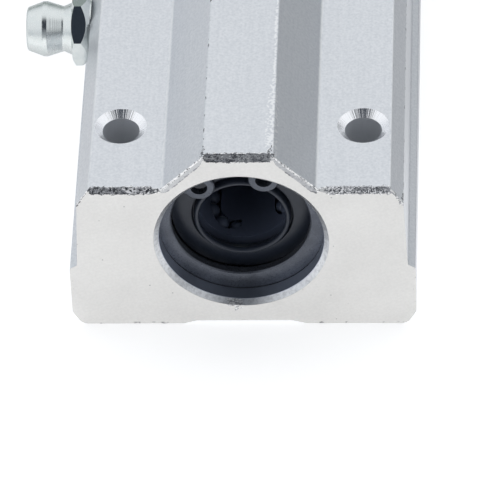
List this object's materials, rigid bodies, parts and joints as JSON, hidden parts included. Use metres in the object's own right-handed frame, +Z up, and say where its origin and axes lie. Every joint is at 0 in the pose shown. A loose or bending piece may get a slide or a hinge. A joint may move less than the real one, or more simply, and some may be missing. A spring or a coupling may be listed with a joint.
{
  "type": "linear bearing block",
  "caption": "Long aluminium block that slides along a round shaft on in-line ball bearings held by circlips, with end seals, countersunk screw holes and a side grease nipple.",
  "frame": {"origin": "on the shaft axis at mid-length of the block", "axes": "+Y along the shaft towards the rear end, +Z up from the base to the ridge, +X to the right seen from the front"},
  "size_m": [0.0464, 0.068, 0.026],
  "materials": {
    "extruded_aluminium": "satin extruded faces, sawn ends",
    "bearing_steel": "ground and hardened",
    "cage_plastic": "moulded, black",
    "seal_rubber": "moulded nitrile rubber, black",
    "spring_steel": "drawn, oiled",
    "phosphated_steel": "stamped, black phosphate",
    "zinc_plated_steel": "turned, bright zinc plate"
  },
  "bodies": {
    "block": {"housing": "extruded_aluminium", "front_bearing_sleeve": "bearing_steel", "front_ball_cage": "cage_plastic", "front_balls": "bearing_steel", "front_outer_seal": "seal_rubber", "front_inner_seal": "seal_rubber", "front_outer_stop_ring": "spring_steel", "front_inner_stop_ring": "spring_steel", "rear_bearing_sleeve": "bearing_steel", "rear_ball_cage": "cage_plastic", "rear_balls": "bearing_steel", "rear_outer_seal": "seal_rubber", "rear_inner_seal": "seal_rubber", "rear_outer_stop_ring": "spring_steel", "rear_inner_stop_ring": "spring_steel", "front_circlip": "phosphated_steel", "rear_circlip": "phosphated_steel", "grease_nipple": "zinc_plated_steel", "nipple_spring": "spring_steel"},
    "check_ball": {"nipple_ball": "bearing_steel"}
  },
  "joints": [
    {"name": "check_ball_slide", "type": "slide", "parent": "block", "child": "check_ball", "axis": [1, 0, 0], "range_m": [0, 0.0008], "stiffness_N_per_m": 500, "deforming": ["nipple_spring"]}
  ]
}
